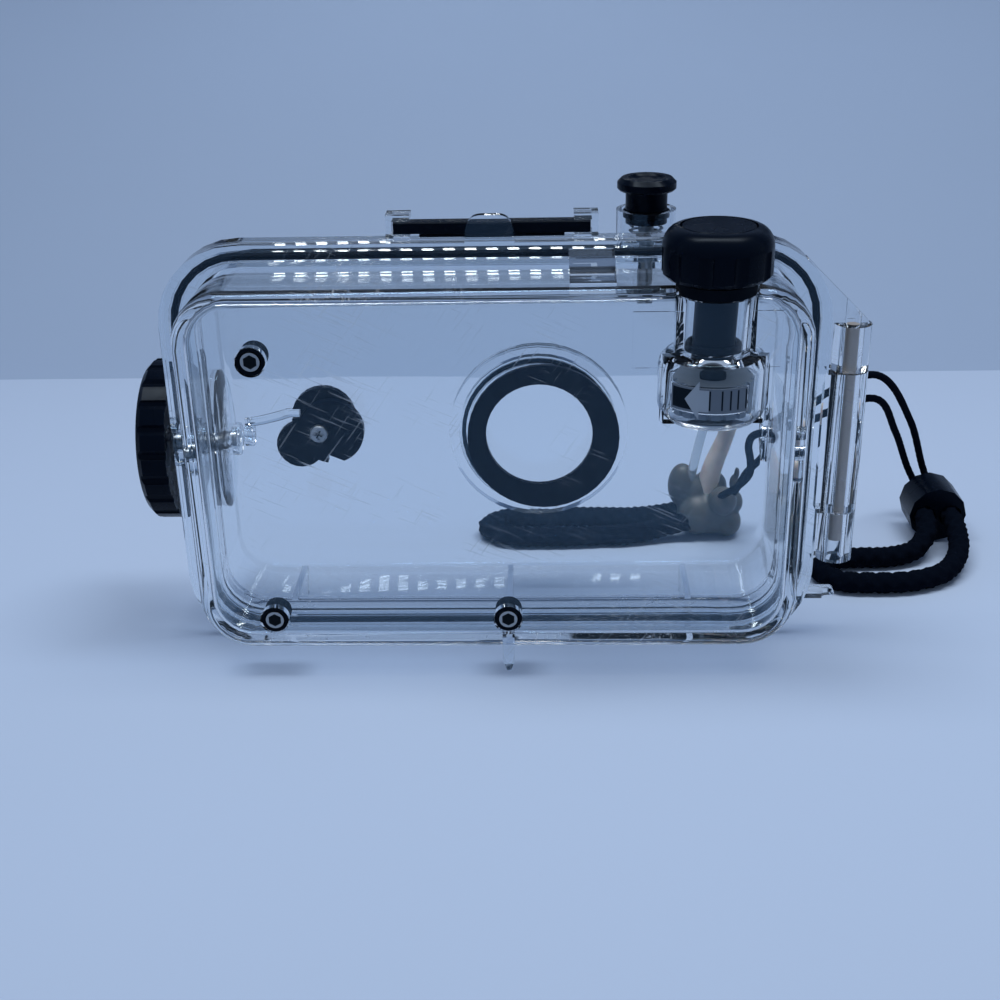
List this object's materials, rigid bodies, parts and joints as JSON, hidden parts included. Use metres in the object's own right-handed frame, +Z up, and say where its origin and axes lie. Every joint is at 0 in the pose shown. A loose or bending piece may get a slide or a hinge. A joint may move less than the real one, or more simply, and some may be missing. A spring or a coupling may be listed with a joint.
{
  "type": "underwater camera housing",
  "caption": "Clear two-part waterproof camera housing with a hinged rear door, lens port, shutter button, tall control knob, side wheel with cam, top latch and wrist strap",
  "frame": {"origin": "bottom of the door's flange, midway along its length and midway through its thickness, at the level it stands on", "axes": "X is the operator's right and the length of the shell, Y points from the operator through the lens port, Z is up"},
  "size_m": [0.2282, 0.1055, 0.1196],
  "materials": {
    "clear_case": "clear moulded plastic, polished, with fine scratches on the outer face",
    "clear_window": "clear, polished",
    "black_plastic": "satin moulded black",
    "grey_plastic": "satin dark grey",
    "black_rubber": "dull black rubber",
    "steel": "turned stainless steel",
    "printed_band": "light grey band with a plain dark arrow patch and bars",
    "light_plastic": "satin light grey",
    "pin_steel": "dull ground steel",
    "braid": "braided black cord",
    "silicone": "milky silicone",
    "clear_strip": "clear soft plastic"
  },
  "bodies": {
    "case": {"front_case": "clear_case", "bearing_plate": "clear_case", "latch_bracket_left": "clear_case", "latch_bracket_right": "clear_case", "port_window": "clear_window", "mask_ring": "black_plastic", "strap_ferrule": "black_plastic", "hinge_pin": "pin_steel", "main_seal": "black_rubber", "port_seal": "black_rubber", "wheel_seal": "black_rubber", "shutter_spring": "steel", "cam_screw": "steel", "strap_knot": "braid", "strap_strand_upper": "braid", "strap_strand_lower": "braid", "wrist_braid_left": "braid", "wrist_braid_right": "braid", "strap_keeper": "silicone", "strap_sleeve": "silicone", "strap_strip": "clear_strip"},
    "door": {"rear_door": "clear_case", "indicator_band": "printed_band", "knob_seal": "black_rubber", "stop_pad_1": "black_rubber", "stop_pad_2": "black_rubber", "stop_pad_3": "black_rubber", "stop_screw_1": "steel", "stop_screw_2": "steel", "stop_screw_3": "steel"},
    "knob": {"control_knob": "black_plastic", "knob_disc": "black_plastic", "knob_collar": "black_rubber", "knob_shaft": "grey_plastic", "drive_wheel": "light_plastic"},
    "shutter": {"shutter_button": "black_plastic", "shutter_plunger": "steel", "shutter_clip": "steel", "shutter_seal": "black_rubber"},
    "side_wheel": {"side_wheel": "black_plastic", "wheel_axle": "steel", "wheel_crank": "clear_case"},
    "cam_lever": {"cam_disc": "black_plastic", "cam_plate": "black_plastic", "crank_arm": "clear_case"},
    "latch": {"latch_bar": "black_plastic", "latch_lip": "black_rubber"}
  },
  "joints": [
    {"name": "door_hinge", "type": "hinge", "parent": "case", "child": "door", "pos_m": [0.0875, 0.00215, 0.0532], "axis": [0, 0, 1], "range_deg": [0, 120]},
    {"name": "knob_turn", "type": "hinge", "parent": "door", "child": "knob", "pos_m": [0.0518, -0.015, 0.1], "axis": [0, 0, 1], "continuous": true},
    {"name": "shutter_press", "type": "slide", "parent": "case", "child": "shutter", "axis": [0, 0, 1], "range_m": [-0.0018, 0], "stiffness_N_per_m": 400, "springref_m": 0.0015, "deforming": ["shutter_spring"]},
    {"name": "wheel_turn", "type": "hinge", "parent": "case", "child": "side_wheel", "pos_m": [-0.085, 0.0125, 0.05335], "axis": [1, 0, 0], "range_deg": [-30, 30]},
    {"name": "cam_rock", "type": "hinge", "parent": "case", "child": "cam_lever", "pos_m": [-0.0475, 0.02, 0.0526], "axis": [0, 1, 0], "range_deg": [-5.2, 5.2]},
    {"name": "latch_slide", "type": "slide", "parent": "case", "child": "latch", "axis": [0, 1, 0], "range_m": [0, 0.002]}
  ],
  "couplings": [
    {"joint": "cam_rock", "follows": "wheel_turn", "ratio": 0.1685}
  ]
}
